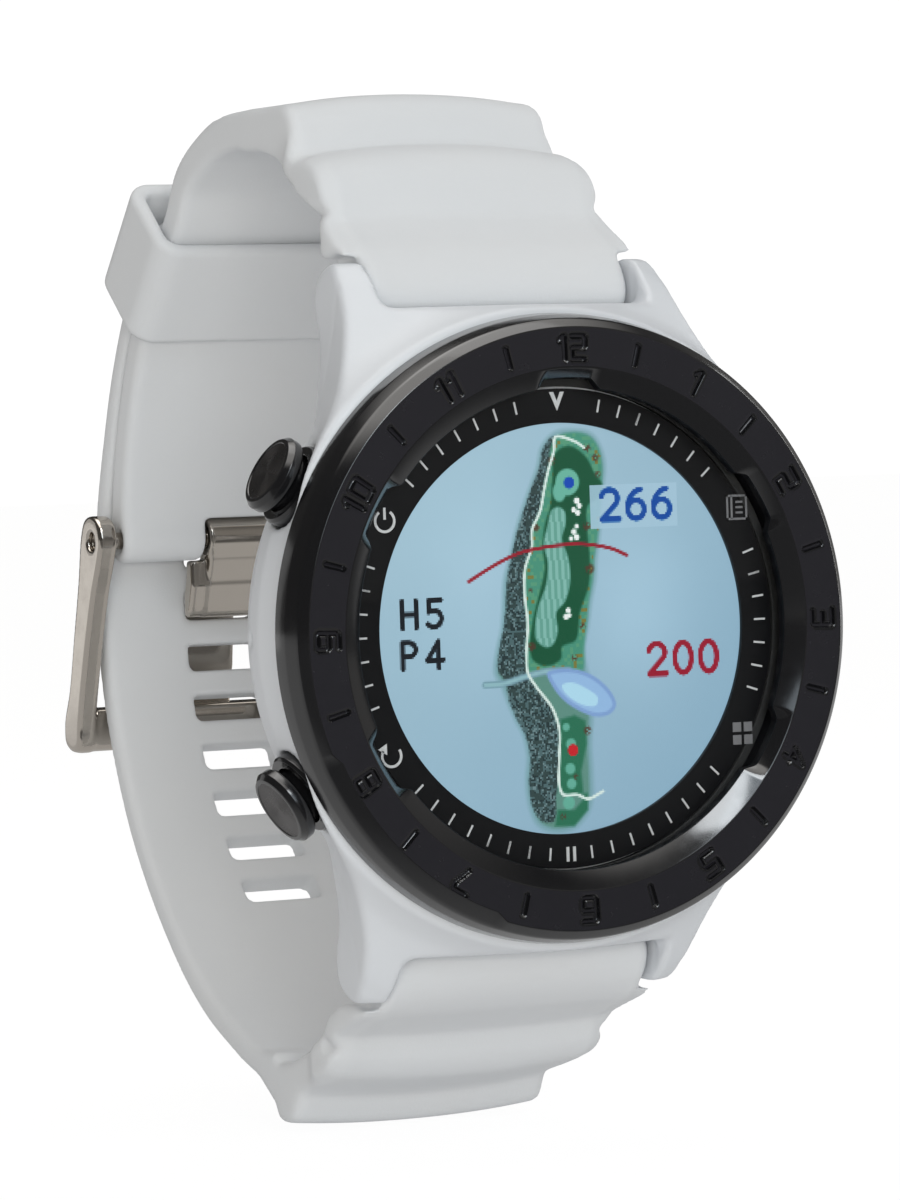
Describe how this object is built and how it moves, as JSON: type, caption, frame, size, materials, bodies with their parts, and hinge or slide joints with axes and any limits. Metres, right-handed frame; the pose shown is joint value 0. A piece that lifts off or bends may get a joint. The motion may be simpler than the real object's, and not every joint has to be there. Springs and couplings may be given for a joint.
{
  "type": "golf gps wristwatch",
  "caption": "Round digital golf wristwatch with a numbered black bezel, side push buttons and a closed white silicone strap with a pin buckle.",
  "frame": {"origin": "centre of the flat face of the case back, on the watch axis", "axes": "+X towards 3 o'clock, +Z towards 12 o'clock, +Y through the case back towards the wrist; the display faces -Y"},
  "size_m": [0.046, 0.0684, 0.0801],
  "materials": {
    "case_white": "white moulded case, fine satin",
    "silicone": "matte white silicone",
    "bezel_black": "black coated metal, satin land and polished bevels",
    "black_metal": "black coated metal, turned face",
    "dial_black": "black printed mask",
    "glass": "clear flat cover glass",
    "screen": "lit colour display",
    "nickel": "polished warm nickel steel",
    "steel": "plain stainless steel",
    "plastic": "dark moulded plastic",
    "pcb": "green solder mask",
    "gold": "gold plated contacts",
    "ceramic": "ceramic patch",
    "pouch": "foil pouch",
    "rubber": "black rubber seal"
  },
  "bodies": {
    "case": {"case_middle": "case_white", "bezel_ring": "bezel_black", "cover_glass": "glass", "lens_gasket": "rubber", "dial_ring": "dial_black", "display_module": "screen", "inner_frame": "plastic", "main_pcb": "pcb", "gps_antenna": "ceramic", "battery": "pouch", "buzzer": "steel", "vibration_motor_can": "steel", "case_back": "steel", "case_back_gasket": "rubber", "charging_contacts": "gold", "spring_bar_upper": "steel", "spring_bar_lower": "steel", "case_back_screw_1": "steel", "case_back_screw_2": "steel", "case_back_screw_3": "steel", "case_back_screw_4": "steel", "button_collar_ul": "black_metal", "button_oring_ul": "rubber", "button_spring_ul": "steel", "tact_switch_ul": "plastic", "button_collar_ll": "black_metal", "button_oring_ll": "rubber", "button_spring_ll": "steel", "tact_switch_ll": "plastic", "button_collar_ur": "black_metal", "button_oring_ur": "rubber", "button_spring_ur": "steel", "tact_switch_ur": "plastic", "button_collar_lr": "black_metal", "button_oring_lr": "rubber", "button_spring_lr": "steel", "tact_switch_lr": "plastic"},
    "strap_upper_root": {"strap_upper_root": "silicone"},
    "strap_upper_band": {"strap_upper_band": "silicone", "buckle_bar": "nickel"},
    "strap_lower_root": {"strap_lower_root": "silicone"},
    "strap_lower_band": {"strap_lower_band": "silicone"},
    "keeper": {"strap_keeper": "silicone"},
    "buckle_frame": {"buckle_frame": "nickel"},
    "buckle_tongue": {"buckle_tongue": "nickel"},
    "motor_rotor": {"motor_rotor": "steel"},
    "button_ul": {"button_cap_ul": "black_metal", "button_circlip_ul": "steel"},
    "button_ll": {"button_cap_ll": "black_metal", "button_circlip_ll": "steel"},
    "button_ur": {"button_cap_ur": "black_metal", "button_circlip_ur": "steel"},
    "button_lr": {"button_cap_lr": "black_metal", "button_circlip_lr": "steel"},
    "bar_tip_upper_left": {"bar_tip_upper_left": "steel"},
    "bar_tip_upper_right": {"bar_tip_upper_right": "steel"},
    "bar_tip_lower_left": {"bar_tip_lower_left": "steel"},
    "bar_tip_lower_right": {"bar_tip_lower_right": "steel"}
  },
  "joints": [
    {"name": "strap_upper_pivot", "type": "hinge", "parent": "case", "child": "strap_upper_root", "pos_m": [0, -0.0007, 0.0256], "axis": [1, 0, 0], "range_deg": [-8, 8]},
    {"name": "strap_upper_flex", "type": "hinge", "parent": "strap_upper_root", "child": "strap_upper_band", "pos_m": [0, 0.0162, 0.0392], "axis": [1, 0, 0], "range_deg": [-5.6, 5.6]},
    {"name": "strap_lower_pivot", "type": "hinge", "parent": "case", "child": "strap_lower_root", "pos_m": [0, -0.0007, -0.0256], "axis": [1, 0, 0], "range_deg": [-8, 8]},
    {"name": "strap_lower_flex", "type": "hinge", "parent": "strap_lower_root", "child": "strap_lower_band", "pos_m": [0, 0.0166, -0.0356], "axis": [1, 0, 0], "range_deg": [-5.6, 5.6]},
    {"name": "keeper_slide", "type": "hinge", "parent": "strap_upper_band", "child": "keeper", "pos_m": [0, 0.0074, 0.0034], "axis": [1, 0, 0], "range_deg": [-6, 0]},
    {"name": "buckle_frame_pivot", "type": "hinge", "parent": "strap_upper_band", "child": "buckle_frame", "pos_m": [0, 0.04525, 0.0069], "axis": [1, 0, 0], "range_deg": [0, 4]},
    {"name": "buckle_tongue_pivot", "type": "hinge", "parent": "buckle_frame", "child": "buckle_tongue", "pos_m": [0, 0.04525, 0.0069], "axis": [1, 0, 0], "range_deg": [0, 3]},
    {"name": "button_ul_press", "type": "slide", "parent": "case", "child": "button_ul", "axis": [0.866, 0, -0.5], "range_m": [0, 0.0006], "stiffness_N_per_m": 2500, "deforming": ["button_spring_ul"]},
    {"name": "button_ll_press", "type": "slide", "parent": "case", "child": "button_ll", "axis": [0.866, 0, 0.5], "range_m": [0, 0.0006], "stiffness_N_per_m": 2500, "deforming": ["button_spring_ll"]},
    {"name": "button_ur_press", "type": "slide", "parent": "case", "child": "button_ur", "axis": [-0.866, 0, -0.5], "range_m": [0, 0.0006], "stiffness_N_per_m": 2500, "deforming": ["button_spring_ur"]},
    {"name": "button_lr_press", "type": "slide", "parent": "case", "child": "button_lr", "axis": [-0.866, 0, 0.5], "range_m": [0, 0.0006], "stiffness_N_per_m": 2500, "deforming": ["button_spring_lr"]},
    {"name": "bar_tip_upper_left_retract", "type": "slide", "parent": "case", "child": "bar_tip_upper_left", "axis": [1, 0, 0], "range_m": [0, 0.00175]},
    {"name": "bar_tip_upper_right_retract", "type": "slide", "parent": "case", "child": "bar_tip_upper_right", "axis": [-1, 0, 0], "range_m": [0, 0.00175]},
    {"name": "bar_tip_lower_left_retract", "type": "slide", "parent": "case", "child": "bar_tip_lower_left", "axis": [1, 0, 0], "range_m": [0, 0.00175]},
    {"name": "bar_tip_lower_right_retract", "type": "slide", "parent": "case", "child": "bar_tip_lower_right", "axis": [-1, 0, 0], "range_m": [0, 0.00175]},
    {"name": "motor_spin", "type": "hinge", "parent": "case", "child": "motor_rotor", "pos_m": [0.0122, -0.0052, 0], "axis": [0, 0, 1], "continuous": true}
  ],
  "couplings": [
    {"joint": "strap_lower_pivot", "follows": "strap_upper_pivot", "ratio": 0.9841},
    {"joint": "strap_upper_flex", "follows": "strap_upper_pivot", "ratio": -0.6866},
    {"joint": "strap_lower_flex", "follows": "strap_upper_pivot", "ratio": -0.6707}
  ]
}
